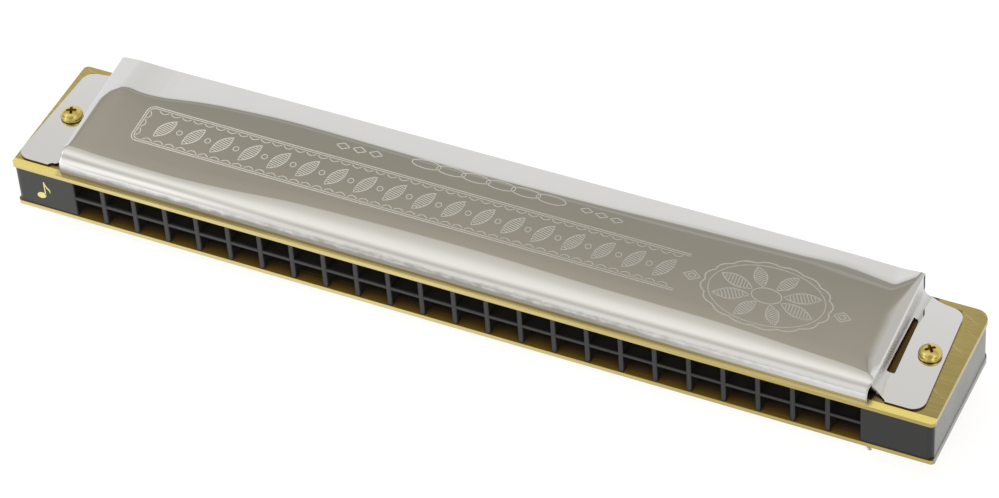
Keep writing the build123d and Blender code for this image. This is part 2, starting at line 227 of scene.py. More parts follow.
# ---- node helpers ----
class Nodes:
    """Short calls for building a node tree."""

    def __init__(self, tree):
        self.tree = tree
        self.tree.nodes.clear()

    def put(self, value, socket):
        """A number, a vector, a colour or another node's output into a socket."""
        if isinstance(value, bpy.types.NodeSocket):
            self.tree.links.new(value, socket)
        else:
            socket.default_value = (*value, 1.0) if socket.type == "RGBA" else value

    def new(self, kind, **inputs):
        """New node with its inputs filled, with _ for a space in an input's name."""
        node = self.tree.nodes.new(kind)
        for name, value in inputs.items():
            self.put(value, node.inputs[name.replace("_", " ")])
        return node

    def split(self, vector):
        """X, Y and Z of a vector."""
        return self.new("ShaderNodeSeparateXYZ", Vector=vector).outputs

    def math(self, operation, *values):
        node = self.new("ShaderNodeMath")
        node.operation = operation
        for value, socket in zip(values, node.inputs):
            self.put(value, socket)
        return node.outputs[0]

    def remap(self, value, low, high, to_low=0.0, to_high=1.0):
        spans = {"From_Min": low, "From_Max": high, "To_Min": to_low, "To_Max": to_high}
        return self.new("ShaderNodeMapRange", Value=value, **spans).outputs["Result"]

    def mix(self, share, low, high, blend="MIX"):
        """Colour between low and high; each may be a colour or an output."""
        node = self.new("ShaderNodeMix")
        node.data_type = "RGBA"
        node.blend_type = blend
        for name, value in (("Factor_Float", share), ("A_Color", low), ("B_Color", high)):
            self.put(value, next(socket for socket in node.inputs if socket.identifier == name))
        return next(socket for socket in node.outputs if socket.identifier == "Result_Color")

    def ramp(self, share, stops):
        """Colour ramp through (place, colour) stops."""
        node = self.new("ShaderNodeValToRGB", Fac=share)
        elements = node.color_ramp.elements
        for i, (place, colour) in enumerate(stops):
            stop = elements[i] if i < len(elements) else elements.new(place)
            stop.position = place
            stop.color = (*colour, 1.0)
        return node.outputs["Color"]


class MaterialNodes(Nodes):
    """One material's node tree round a principled shader, with object coordinates in metres."""

    def __init__(self, name):
        self.material = bpy.data.materials.new(name)
        self.material.use_nodes = True
        super().__init__(self.material.node_tree)
        self.shader = self.new("ShaderNodeBsdfPrincipled")
        self.new("ShaderNodeOutputMaterial", Surface=self.shader.outputs["BSDF"])
        self.place = self.new("ShaderNodeTexCoord").outputs["Object"]
        self.x, self.y, self.z = self.split(self.place)

    def set(self, **values):
        """Values or outputs into the shader's own sockets, with _ for a space in a socket's name."""
        for name, value in values.items():
            self.put(value, self.shader.inputs[name.replace("_", " ")])

    def scaled(self, x, y, z, turn=0.0):
        """Object coordinates turned about Z and stretched so that one unit is 1/x, 1/y, 1/z metres."""
        place = self.place
        if turn:
            place = self.new("ShaderNodeMapping", Vector=place, Rotation=(0, 0, turn)).outputs["Vector"]
        return self.new("ShaderNodeMapping", Vector=place, Scale=(x, y, z)).outputs["Vector"]

    def noise(self, vector, detail=4.0, roughness=0.55):
        node = self.new("ShaderNodeTexNoise", Vector=vector, Scale=1.0, Detail=detail, Roughness=roughness)
        return node.outputs["Fac"]

    def bump(self, height, strength, distance):
        node = self.new("ShaderNodeBump", Height=height, Strength=strength, Distance=distance)
        self.set(Normal=node.outputs["Normal"])

    def rises(self, length, start, stop):
        """Mask from 0 to 1 while a length in metres goes from start to stop, both in millimetres."""
        return self.remap(length, start * MM, stop * MM)

    def falls(self, length, start, stop):
        """Mask from 1 to 0 while a length in metres goes from start to stop, both in millimetres."""
        return self.remap(length, start * MM, stop * MM, 1.0, 0.0)

    def both(self, *masks):
        """Product of several masks."""
        product = masks[0]
        for mask in masks[1:]:
            product = self.math("MULTIPLY", product, mask)
        return product

    def side_on(self):
        """How squarely the surface faces along the length, from 0 to 1."""
        return self.math("ABSOLUTE", self.split(self.new("ShaderNodeTexCoord").outputs["Normal"])[0])

    def from_middle(self):
        """Height above or below the comb's middle level, in metres."""
        return self.math("ABSOLUTE", self.math("SUBTRACT", self.z, MID_LEVEL * MM))

    def rise(self):
        """Height outwards from the plates' outer faces, in metres, the same above and below."""
        return self.math("SUBTRACT", self.from_middle(), (PLATE_TOP - MID_LEVEL) * MM)

    def inset(self):
        """Distance in from the plates' front edge, in metres."""
        return self.math("SUBTRACT", self.y, FRONT_Y * MM)

    def off_centre(self):
        """Distance along the length from the covers' middle, in metres."""
        return self.math("ABSOLUTE", self.math("SUBTRACT", self.x, COVER_CENTRE_X * MM))

    def lower_half(self):
        """Mask that is 1 below the comb's middle level."""
        return self.falls(self.z, MID_LEVEL - 1, MID_LEVEL + 1)


# Where the materials change, in millimetres: each pair is where a change starts and where it's complete.
FOOT_SHADE_RISE = (1.0, 2.0)
FOOT_SHADE_IN = (2.2, 2.5)
FOOT_SHADE_RAGGED = 0.25
FOOT_SHADE_FADES_X = (30.0, 70.0)
ROLL_ENDS_OFF = (COVER_HALF + 0.2, COVER_HALF + 0.3)
HIGHLIGHT_ENDS_X = (-60.0, -30.0)
HIGHLIGHT_FROM_RISE = (2.2, 2.6)
HIGHLIGHT_TO_RISE = (2.9, 3.4)
TAB_STARTS_OFF = (COVER_HALF + 0.5, COVER_HALF + 0.6)
TAB_EDGE_RISE = (SHEET - 0.06, SHEET - 0.03)
TAB_EDGE_ENDS_IN = (24.4, 25.0)
WALL_OFF = (COVER_HALF - 0.75, COVER_HALF - 0.7)
WALL_RISE = (2.0, 2.4)
WALL_REAR_IN = (COVER_REAR_IN - 0.8, COVER_REAR_IN - 0.7)
FILLET_RISE = (1.6, 2.2)
ABOVE_PLATE_RISE = (0.1, 0.3)
MOUTH_IN = (4.4, 4.8)
BEVEL_IN = (1.36, 1.44)
BEVEL_RISE = (-0.24, -0.21)
ROLL_SHADE_OFF = (COVER_HALF - 0.1, COVER_HALF + 0.6)
NOTCH_OFF = (COVER_HALF + 2.2, COVER_HALF + 2.9)
NOTCH_IN = (1.4, 3.0)
COVERED_OFF = (COVER_HALF + 1.0, COVER_HALF + 1.8)
COVERED_IN = (4.4, 5.0)
PLATE_SHADE_X = (75.0, 91.0)
EDGE_DARKENS_X = (-10.0, 65.0)
CELL_LIGHT_IN = (0.4, 3.2)
CELLS_START_IN = (0.65, 0.95)
CELLS_END_IN = (25.1, 25.4)
CELLS_OFF = (79.2, 79.4)
CELL_DEPTH_IN = (0.95, 9.15)
COMB_X = (-80.0, 80.0)
ETCHING_X = (-60.0, 30.0)


def chrome_material():
    """Bright chromed sheet: faint wipe marks and a slight waviness, with painted shade along the upper
    cover's front foot and on cut edges, a painted highlight on the roll, and the lower cover painted paler.
    """
    n = MaterialNodes("chrome")
    n.set(Metallic=1.0)
    rise = n.rise()
    inset = n.inset()
    off_centre = n.off_centre()
    side_on = n.side_on()
    upper = n.math("SUBTRACT", 1.0, n.lower_half())
    smears = n.noise(n.scaled(60, 160, 160), detail=5)
    clean = n.mix(smears, (0.735, 0.735, 0.735), (0.755, 0.75, 0.745))
    # The lower cover is painted paler than the upper one: painted light that keeps it white against the
    # floor.
    tone = n.mix(upper, (0.93, 0.93, 0.92), clean)
    spots = n.noise(n.scaled(500, 900, 900), detail=3)
    ragged = n.math("ADD", rise, n.remap(spots, 0.3, 0.7, -FOOT_SHADE_RAGGED * MM, FOOT_SHADE_RAGGED * MM))
    # Painted shade along the upper cover's front foot, ragged at its edge and weaker towards the right; it
    # stands in for a dark reflection.
    foot_shade = n.both(
        n.falls(ragged, *FOOT_SHADE_RISE),
        n.falls(inset, *FOOT_SHADE_IN),
        n.falls(off_centre, *ROLL_ENDS_OFF),
        n.remap(n.falls(n.x, *FOOT_SHADE_FADES_X), 0.0, 1.0, 0.35, 1.0),
        upper,
    )
    tone = n.mix(foot_shade, tone, (0.3, 0.285, 0.255))
    # Painted highlight: a whiter band along the upper roll, towards the left end.
    painted_highlight = n.both(
        n.falls(n.x, *HIGHLIGHT_ENDS_X),
        n.rises(rise, *HIGHLIGHT_FROM_RISE),
        n.falls(rise, *HIGHLIGHT_TO_RISE),
        upper,
    )
    tone = n.mix(painted_highlight, tone, (1.0, 1.0, 0.99))
    # Painted shade: the tabs' cut sides are dark.
    tab_edge_shade = n.both(
        n.rises(off_centre, *TAB_STARTS_OFF),
        n.falls(rise, *TAB_EDGE_RISE),
        n.falls(inset, *TAB_EDGE_ENDS_IN),
    )
    tone = n.mix(tab_edge_shade, tone, (0.09, 0.065, 0.04))
    # Painted shadow line: a dark strip along the rear of each end wall.
    wall_edge_shade = n.both(
        n.rises(off_centre, *WALL_OFF),
        n.rises(rise, *WALL_RISE),
        n.rises(inset, *WALL_REAR_IN),
        n.remap(side_on, 0.9, 0.95),
    )
    tone = n.mix(wall_edge_shade, tone, (0.03, 0.03, 0.03))
    n.set(Base_Color=tone)
    fillet = n.both(n.remap(side_on, 0.02, 0.1), n.falls(rise, *FILLET_RISE))
    steep = n.math("MAXIMUM", n.remap(side_on, 0.6, 0.95), fillet)
    duller = n.math("MULTIPLY", n.both(steep, n.rises(rise, *ABOVE_PLATE_RISE)), 0.5)
    n.set(Roughness=n.math("ADD", n.remap(smears, 0.3, 0.7, 0.035, 0.06), duller))
    n.bump(n.noise(n.scaled(22, 30, 30), detail=1), 0.03, 0.001)
    return n.material


def sheet_inside_material():
    """Dull unpolished inner face of the cover sheet, darker deeper in as painted shade; the lips by the mouth
    are paler, on the lower cover painted paler still.
    """
    n = MaterialNodes("cover_inside")
    n.set(Metallic=1.0)
    grain = n.noise(n.scaled(120, 2400, 2400), detail=3)
    # Painted shade deeper in under the cover; the lips near the mouth are paler, painted paler still on the
    # lower cover.
    deep_shade = n.mix(grain, (0.22, 0.215, 0.21), (0.34, 0.335, 0.325))
    lips = n.mix(n.lower_half(), (0.7, 0.7, 0.69), (0.95, 0.95, 0.94))
    n.set(Base_Color=n.mix(n.falls(n.inset(), *MOUTH_IN), deep_shade, lips))
    n.set(Roughness=n.remap(grain, 0.3, 0.7, 0.35, 0.55))
    n.bump(grain, 0.08, 0.0002)
    return n.material


def etched_material():
    """Pale matt ornament etched into the chrome."""
    n = MaterialNodes("etched_steel")
    n.set(Metallic=0.2)
    grain = n.noise(n.scaled(3200, 3200, 3200), detail=2)
    # The lines are paler towards the left end.
    right_line_tone = n.mix(grain, (0.35, 0.34, 0.32), (0.47, 0.46, 0.435))
    left_line_tone = n.mix(grain, (0.54, 0.53, 0.5), (0.7, 0.685, 0.655))
    n.set(Base_Color=n.mix(n.rises(n.x, *ETCHING_X), left_line_tone, right_line_tone))
    n.set(Roughness=n.remap(grain, 0.3, 0.7, 0.5, 0.7))
    n.bump(grain, 0.25, 0.00003)
    return n.material


def brass_sheet_material():
    """Rolled brass plate: streaked and scratched top, paler front bevel, pale cut edges, painted shade at the
    notches, under the covers and towards the right, painted light in the cells.
    """
    n = MaterialNodes("brass_sheet")
    rise = n.rise()
    inset = n.inset()
    off_centre = n.off_centre()
    grain = n.noise(n.scaled(70, 2600, 2600), detail=4)
    patches = n.noise(n.scaled(60, 110, 110), detail=4)
    stains = n.noise(n.scaled(240, 260, 260), detail=4, roughness=0.7)
    streaks = n.remap(grain, 0.3, 0.7)
    top = n.mix(n.remap(patches, 0.35, 0.65), (0.455, 0.36, 0.125), (0.56, 0.45, 0.165))
    top = n.mix(n.remap(grain, 0.35, 0.65, 0.0, 0.5), top, (0.66, 0.54, 0.22))
    top = n.mix(n.remap(stains, 0.6, 0.78, 0.0, 0.55), top, (0.3, 0.2, 0.06))
    for turn, scale in ((0.12, 60), (0.55, 90), (2.4, 80)):
        strokes = n.noise(n.scaled(scale, 3400, 3400, turn), detail=2)
        top = n.mix(n.remap(strokes, 0.7, 0.74, 0.0, 0.7), top, (0.9, 0.8, 0.42))
    # Painted shade: the plate's top darkens towards the right end.
    right_end_shade = n.math("MULTIPLY", n.rises(n.x, *PLATE_SHADE_X), 0.4)
    top = n.mix(right_end_shade, top, (0.3, 0.25, 0.11))
    shade = n.remap(n.rises(inset, *NOTCH_IN), 0.0, 1.0, 0.3, 0.85)
    top = n.mix(n.both(n.falls(off_centre, *NOTCH_OFF), shade), top, (0.07, 0.045, 0.014))
    # Painted shade on the plate under each cover.
    covered_shade = n.both(n.falls(off_centre, *COVERED_OFF), n.rises(inset, *COVERED_IN))
    top = n.mix(covered_shade, top, (0.1, 0.062, 0.02))

    # The machined front bevel is paler than the top; under the cover's roll it takes a darker copy, painted
    # shade.
    bevel = n.both(n.falls(inset, *BEVEL_IN), n.rises(rise, *BEVEL_RISE))
    under_roll = n.falls(off_centre, *ROLL_SHADE_OFF)
    bright = n.mix(streaks, (0.97, 0.8, 0.23), (1.0, 0.87, 0.31))
    dull = n.mix(streaks, (0.72, 0.59, 0.25), (0.9, 0.76, 0.38))
    tone = n.mix(bevel, top, n.mix(under_roll, bright, dull))

    # The plate's front edge is paler at the left and darker towards the right.
    cut = n.mix(streaks, (0.6, 0.5, 0.21), (0.7, 0.6, 0.28))
    edge_right_tone = n.mix(streaks, (0.38, 0.31, 0.105), (0.46, 0.38, 0.14))
    edge = n.falls(rise, *BEVEL_RISE)
    tone = n.mix(edge, tone, n.mix(n.rises(n.x, *EDGE_DARKENS_X), cut, edge_right_tone))

    inner_face = comb_high.z - MID_LEVEL
    inside = n.falls(n.from_middle(), inner_face + 0.01, inner_face + 0.03)
    # Painted light: the plates' inner faces in the cells are lit near the mouth and fall dark deeper in.
    cell_light = n.mix(n.rises(inset, *CELL_LIGHT_IN), (0.24, 0.14, 0.02), (0.075, 0.06, 0.042))
    tone = n.mix(inside, tone, cell_light)
    # Past the comb the lower plate's end is grey; its upward ledge is painted paler than its end face,
    # painted light that lifts the shade there.
    past_comb = n.rises(n.x, comb_high.x - 0.02, comb_high.x + 0.02)
    grey_end = n.both(past_comb, n.falls(n.z, MID_LEVEL - 1, MID_LEVEL))
    tone = n.mix(grey_end, tone, n.mix(n.side_on(), (0.5, 0.5, 0.49), (0.2, 0.2, 0.195)))

    n.set(Base_Color=tone)
    shine = n.both(n.remap(inside, 0.0, 1.0, 1.0, 0.3), n.remap(grey_end, 0.0, 1.0, 1.0, 0.0))
    lit_bevel = n.both(bevel, n.remap(under_roll, 0.0, 1.0, 1.0, 0.0))
    n.set(Metallic=n.math("SUBTRACT", shine, n.math("MULTIPLY", lit_bevel, 0.3)))
    n.set(Roughness=n.remap(grain, 0.25, 0.75, 0.17, 0.3))
    n.bump(grain, 0.1, 0.0001)
    return n.material


def brass_part_material(name, low, high, roughness, foot=0.0):
    """Bright turned or cut brass, with painted shade up to a foot level that is given in millimetres over the
    plates.
    """
    n = MaterialNodes(name)
    n.set(Metallic=1.0)
    spots = n.noise(n.scaled(700, 700, 700), detail=3)
    tone = n.mix(spots, low, high)
    if foot:
        # Painted shade at the foot, where the head sits on the tab.
        tone = n.mix(n.falls(n.rise(), foot, foot + 0.05), tone, (0.14, 0.09, 0.02))
    n.set(Base_Color=tone)
    n.set(Roughness=n.remap(spots, 0.3, 0.7, roughness * 0.85, roughness * 1.15))
    n.bump(spots, 0.02, 0.0001)
    return n.material


def speckled_material(name, metallic, scale, detail, low, high, roughness):
    """Small gilt or dark brown area with fine speckles."""
    n = MaterialNodes(name)
    n.set(Metallic=metallic)
    spots = n.noise(n.scaled(scale, scale, scale), detail)
    n.set(Base_Color=n.mix(spots, low, high))
    n.set(Roughness=n.remap(spots, 0.3, 0.7, *roughness))
    return n.material


def comb_material():
    """Satin black moulding, its end faces painted paler grey as a sheen, and cells painted paler with depth
    against their shade.
    """
    n = MaterialNodes("comb_black")
    inset = n.inset()
    along = n.math("ABSOLUTE", n.x)
    speckle = n.noise(n.scaled(2600, 2600, 2600), detail=2)
    cloud = n.noise(n.scaled(70, 120, 120), detail=3)
    low_end = n.mix(cloud, (0.027, 0.027, 0.0275), (0.037, 0.037, 0.0375))
    high_end = n.mix(cloud, (0.003, 0.003, 0.003), (0.009, 0.009, 0.009))
    black = n.mix(n.rises(n.x, *COMB_X), low_end, high_end)
    between_faces = n.both(n.rises(inset, *CELLS_START_IN), n.falls(inset, *CELLS_END_IN))
    in_cells = n.both(between_faces, n.falls(along, *CELLS_OFF))
    # Painted light: the cell walls get paler deeper in, against the shade there.
    walls = n.mix(n.rises(inset, *CELL_DEPTH_IN), (0.014, 0.014, 0.014), (0.12, 0.12, 0.12))
    black = n.mix(in_cells, black, walls)
    # Painted sheen: the comb's end faces are paler grey.
    end = n.rises(along, comb_high.x - 0.1, comb_high.x - 0.02)
    n.set(Base_Color=n.mix(end, black, (0.18, 0.18, 0.175)))
    n.set(Roughness=n.remap(cloud, 0.3, 0.7, 0.28, 0.38))
    n.set(Specular_IOR_Level=0.4)
    n.bump(speckle, 0.04, 0.00003)
    return n.material


def floor_material():
    """White paper, lit enough from behind to stay white round the instrument."""
    n = MaterialNodes("pale_floor")
    cloud = n.noise(n.scaled(6, 6, 6), detail=2)
    n.set(Base_Color=n.mix(cloud, (0.29, 0.29, 0.29), (0.31, 0.31, 0.31)))
    n.set(Roughness=0.9, Emission_Color=(1.0, 1.0, 1.0), Emission_Strength=FLOOR_GLOW)
    return n.material


MATERIALS = {
    "chrome": chrome_material(),
    "inside": sheet_inside_material(),
    "etched": etched_material(),
    "sheet": brass_sheet_material(),
    "reed": brass_part_material("brass_reed", (0.66, 0.5, 0.2), (0.78, 0.62, 0.28), 0.28),
    "pin": brass_part_material("brass_pin", (0.7, 0.52, 0.2), (0.8, 0.63, 0.3), 0.22),
    "screw": brass_part_material("brass_screw", (0.62, 0.5, 0.14), (0.7, 0.58, 0.2), 0.14, SHEET + 0.2),
    "recess": speckled_material(
        "screw_recess", 0.6, 1800, 3, (0.16, 0.06, 0.008), (0.36, 0.17, 0.03), (0.35, 0.55)
    ),
    "comb": comb_material(),
    "gilt": speckled_material("gilt_mark", 0.5, 2600, 2, (0.75, 0.68, 0.2), (0.9, 0.84, 0.34), (0.3, 0.5)),
}


def finish_cad_nodes():
    """Gives each CAD node that stays visible its material."""
    for node in BODY_NODES:
        if node == "comb":
            finish = "comb"
        elif node.endswith("reed_plate"):
            finish = "sheet"
        elif node.endswith(("nails", "rivets")):
            finish = "pin"
        else:
            finish = "reed"
        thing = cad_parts[node]
        if not thing.material_slots:
            thing.data.materials.append(MATERIALS[finish])
        for material_slot in thing.material_slots:
            material_slot.material = MATERIALS[finish]


# ---- making pieces ----
def new_piece(name, bm, finishes):
    """Turns a bmesh in metres into a piece that rides on the body."""
    mesh = bpy.data.meshes.new(name)
    bm.to_mesh(mesh)
    bm.free()
    piece = bpy.data.objects.new(name, mesh)
    bpy.context.scene.collection.objects.link(piece)
    for finish in finishes:
        mesh.materials.append(MATERIALS[finish])
    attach(piece, "body")
    return piece


def face_outwards(bm):
    """Turns the faces of closed shapes outwards."""
    bmesh.ops.recalc_face_normals(bm, faces=bm.faces)


def settle(piece):
    """Applies a piece's modifiers."""
    evaluated = piece.evaluated_get(bpy.context.evaluated_depsgraph_get())
    mesh = bpy.data.meshes.new_from_object(evaluated)
    piece.modifiers.clear()
    piece.data = mesh


def sharpen(mesh, limit=math.radians(35)):
    """Smooth shading with hard edges at sharp turns and round the flat tabs and end walls."""
    bm = bmesh.new()
    bm.from_mesh(mesh)
    for face in bm.faces:
        face.smooth = True
    for edge in bm.edges:
        if len(edge.link_faces) != 2:
            continue
        flat = [max(abs(face.normal.z), abs(face.normal.x)) > 0.99999 for face in edge.link_faces]
        edge.smooth = edge.calc_face_angle() < limit and flat[0] == flat[1]
    bm.to_mesh(mesh)
    bm.free()


# ---- covers ----
def slope_plane(across):
    """Height of the flat slope this far in from the plates' front edge."""
    plain_end = PLAIN_BAND_IN - PLAIN_BEND_RADIUS * math.sin(SLOPE)
    return COVER_TOP - PLAIN_BEND_RADIUS * (1 - math.cos(SLOPE)) - (plain_end - across) * math.tan(SLOPE)


SHOULDER_IN = COVER_FRONT_IN + FRONT_RADIUS * (1 - math.sin(SHOULDER_TURN))


def section(x):
    """Points up and over the cover's outside at this X, mouth side to rear: (in, z, tilt) each."""
    lift = smooth_through(LIFTS, x)
    radius = smooth_through(SHOULDER_RADII, x)
    slope_in = SHOULDER_IN + radius * (math.sin(SHOULDER_TURN) - math.sin(SLOPE))
    shoulder_z = slope_plane(slope_in) + lift - radius * (math.cos(SLOPE) - math.cos(SHOULDER_TURN))
    roll_z = shoulder_z - FRONT_RADIUS * math.cos(SHOULDER_TURN)
    upright = math.pi / 2
    rows = [(COVER_FRONT_IN, PLATE_TOP - FOOT_SINK, upright), (COVER_FRONT_IN, roll_z, upright)]
    for tilt in arc_steps(upright, SHOULDER_TURN, ROLL_STEPS):
        across = COVER_FRONT_IN + FRONT_RADIUS * (1 - math.sin(tilt))
        rows.append((across, roll_z + FRONT_RADIUS * math.cos(tilt), tilt))
    for tilt in arc_steps(SHOULDER_TURN, SLOPE, SHOULDER_STEPS):
        across = SHOULDER_IN + radius * (math.sin(SHOULDER_TURN) - math.sin(tilt))
        rows.append((across, shoulder_z + radius * (math.cos(tilt) - math.cos(SHOULDER_TURN)), tilt))
    bend = smooth_through(BEND_RADII, x)
    slope_end = smooth_through(BAND_STARTS, x) - bend * math.sin(SLOPE)
    for across in arc_steps(slope_in, slope_end, SLOPE_STEPS):
        rows.append((across, slope_plane(across) + lift, SLOPE))
    last_tilt = math.asin(max(0.0, math.sin(SLOPE) - (LAST_BEND_IN - slope_end) / bend))
    for tilt in arc_steps(SLOPE, last_tilt, BEND_STEPS):
        across = slope_end + bend * (math.sin(SLOPE) - math.sin(tilt))
        z = slope_plane(slope_end) + lift + bend * (math.cos(tilt) - math.cos(SLOPE))
        rows.append((across, z, tilt))
    bend_in, bend_z, tilt = rows[-1]
    for across in arc_steps(bend_in, COVER_REAR_IN, BAND_STEPS):
        rows.append((across, bend_z + (across - bend_in) * math.tan(last_tilt), last_tilt))
    return rows


def cover_height(x, across):
    """Height of the cover's outside at a place on its top."""
    rows = section(x)
    for (in_a, z_a, _), (in_b, z_b, _) in zip(rows[1:], rows[2:]):
        if in_a <= across <= in_b:
            return z_a + (z_b - z_a) * (across - in_a) / (in_b - in_a)
    return COVER_TOP


def end_offsets(turn, share):
    """Distance from the end wall and drop below the top, where the end rounding has turned this far."""
    soft = END_SOFT_RADIUS * share
    tight = END_TIGHT_RADIUS * share
    if turn <= END_SOFT_TURN:
        reach = soft * (math.sin(END_SOFT_TURN) - math.sin(turn)) + tight * (1 - math.sin(END_SOFT_TURN))
        return reach, soft * (1 - math.cos(turn))
    drop = soft * (1 - math.cos(END_SOFT_TURN)) + tight * (math.cos(END_SOFT_TURN) - math.cos(turn))
    return tight * (1 - math.sin(turn)), drop


END_TURNS = [0.0] + arc_steps(0.0, END_SOFT_TURN, END_SOFT_STEPS)
END_TURNS += arc_steps(END_SOFT_TURN, math.pi / 2, END_TIGHT_STEPS)
MIDDLE_HALF = 76.4
MIDDLE_COLUMNS = 65


def cover_columns():
    """Columns of points across the cover, left wall to right wall; each holds (x, in, z) for every row."""
    columns = {}
    for side, end_shares in ((-1, END_SHARES_LEFT), (1, END_SHARES_RIGHT)):
        end_rows = section(COVER_CENTRE_X + side * COVER_HALF)
        shares = [smooth_through(end_shares, row[0]) for row in end_rows]
        columns[side] = []
        for turn in END_TURNS:
            column = []
            for r, share in enumerate(shares):
                reach, drop = end_offsets(turn, share)
                x = side * (COVER_HALF - reach)
                across, z, tilt = section(COVER_CENTRE_X + x)[r]
                column.append((x, across + drop * math.sin(tilt), z - drop * math.cos(tilt)))
            columns[side].append(column)
    middle = []
    for i in range(MIDDLE_COLUMNS):
        x = MIDDLE_HALF * math.sin(math.pi * (i / (MIDDLE_COLUMNS - 1) - 0.5))
        middle.append([(x, across, z) for across, z, _ in section(COVER_CENTRE_X + x)])
    return columns[-1][::-1] + middle + columns[1]


def end_shift(x, across):
    """How far a point near an end wall is shifted along X."""
    near = min(max((abs(x) - SHIFT_START) / (SHIFT_FULL - SHIFT_START), 0.0), 1.0)
    beyond = abs(x) > COVER_HALF + FOOT_FILLETS[0][1] + 0.01
    return 0.0 if beyond else near * smooth_through(END_SHIFTS[1 if x > 0 else -1], across)


def tab_outline(wall_in):
    """Outline of the tab at the right end, from the wall's front foot round to its rear foot."""
    foot = COVER_HALF + smooth_through(FOOT_FILLETS, wall_in)
    rear_foot = COVER_HALF + smooth_through(FOOT_FILLETS, COVER_REAR_IN)
    notch = (COVER_HALF + TAB_NOTCH_WIDTH, TAB_FRONT_IN)
    points = curve_points((foot, wall_in), (COVER_HALF + 2.3, 2.1), notch)
    front = (TAB_FRONT_HALF, TAB_FRONT_IN)
    rear = (TAB_REAR_HALF, TAB_REAR_IN)
    sweep = (rear_foot + TAB_SWEEP, TAB_REAR_IN)
    points += rounded_corner(front, notch, rear, TAB_CORNER)
    points += rounded_corner(rear, front, sweep, TAB_CORNER)
    points += [sweep] + curve_points(sweep, (rear_foot + 2.0, TAB_REAR_IN), (rear_foot, COVER_REAR_IN))[:-1]
    return points


def fill(bm, loops):
    """Fills a flat region bounded by closed loops of vertices."""
    edges = []
    for loop in loops:
        for a, b in zip(loop, loop[1:] + loop[:1]):
            edges.append(bm.edges.get((a, b)) or bm.edges.new((a, b)))
    bmesh.ops.triangle_fill(bm, use_beauty=True, use_dissolve=False, edges=edges)


def quads(bm, one, other):
    """Faces between two rows of vertices, as far as the shorter one goes."""
    for a, b, c, d in zip(one, one[1:], other[1:], other):
        bm.faces.new((a, b, c, d))


def cover_piece(name, node, flip):
    """One cover: rolled front, slope, rear band, end walls, tabs with a slot at each wall's foot."""
    bm = bmesh.new()

    def point(x, across, z):
        """New vertex; x counts from the cover's middle."""
        z = 2 * MID_LEVEL - z if flip else z
        x += end_shift(x, across)
        return bm.verts.new(((COVER_CENTRE_X + x) * MM, (FRONT_Y + across) * MM, z * MM))

    spots = cover_columns()
    grid = [[point(*spot) for spot in column] for column in spots]
    for left, right in zip(grid, grid[1:]):
        quads(bm, left, right)
    tab_top = PLATE_TOP + SHEET
    for side, end in ((-1, 0), (1, -1)):
        wall_in = spots[end][WALL_ROW][1]
        strips = []
        for i, across in enumerate((wall_in, *FEET_IN)):
            fillet = smooth_through(FOOT_FILLETS, across)
            turns = [0.0] + arc_steps(0, math.pi / 2, FILLET_STEPS)
            if SLOT_FRONT_IN < across < SLOT_REAR_IN:
                turns = turns[: SLOT_FILLET_STEPS + 1]
            strip = []
            for turn in turns:
                scoop = 0.0 if i else NOTCH_SCOOP * math.sin(2 * turn)
                x = COVER_HALF + fillet * (1 - math.cos(turn))
                strip.append(point(side * x, across + scoop, tab_top + fillet * (1 - math.sin(turn))))
            strips.append(strip)
        for one, other in zip(strips, strips[1:]):
            quads(bm, one, other)
        fill(bm, [grid[end][WALL_ROW:] + [strip[0] for strip in strips[::-1]]])
        near_x = COVER_HALF + SLOT_OUTER_FRONT
        far_x = COVER_HALF + SLOT_OUTER_REAR
        near_corner, far_corner, far_end = SLOT_CORNERS_IN
        slot = [
            point(side * (near_x - SLOT_CORNER_OUT), SLOT_FRONT_IN, tab_top),
            point(side * near_x, SLOT_FRONT_IN + near_corner, tab_top),
            point(side * far_x, SLOT_REAR_IN - far_corner, tab_top),
            point(side * (far_x - SLOT_CORNER_OUT), SLOT_REAR_IN - far_end, tab_top),
        ]
        outline = [point(side * x, across, tab_top) for x, across in tab_outline(wall_in)[:-1]]
        front_feet = [strip[-1] for strip in strips[:FEET_BEFORE_SLOT]]
        rear_feet = [strip[-1] for strip in strips[-FEET_AFTER_SLOT:]]
        hole = []
        screw_x = SCREW_XS[(side + 1) // 2] - COVER_CENTRE_X
        for angle in circle(24):
            across = SCREW_Y - FRONT_Y + SCREW_HOLE * math.sin(angle)
            hole.append(point(screw_x + SCREW_HOLE * math.cos(angle), across, tab_top))
        fill(bm, [outline + rear_feet[::-1] + slot[::-1] + front_feet[::-1], hole])
    face_outwards(bm)
    top_face = max(bm.faces, key=lambda f: f.calc_area() * abs(f.normal.z))
    if (top_face.normal.z > 0) == flip:
        bmesh.ops.reverse_faces(bm, faces=bm.faces)
    piece = new_piece(name, bm, ("chrome", "inside"))
    thicken = piece.modifiers.new("thickness", "SOLIDIFY")
    thicken.thickness = SHEET * MM
    thicken.offset = -1
    thicken.use_even_offset = True
    thicken.material_offset = 1
    settle(piece)
    sharpen(piece.data)
    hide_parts(node)


# ---- etched ornament ----
LINE_WIDTH = 0.2
HATCH_WIDTH = 0.17
LINE_PROUD = 0.012
LINE_SINK = 0.03
FRAME_LEFT = -70.5
FRAME_RIGHT = 38.6
FRAME_FRONT_IN = 9.5
FRAME_REAR_IN = 18.3
FRAME_CORNER = 1.4
SCALLOP_PITCH = 2.35


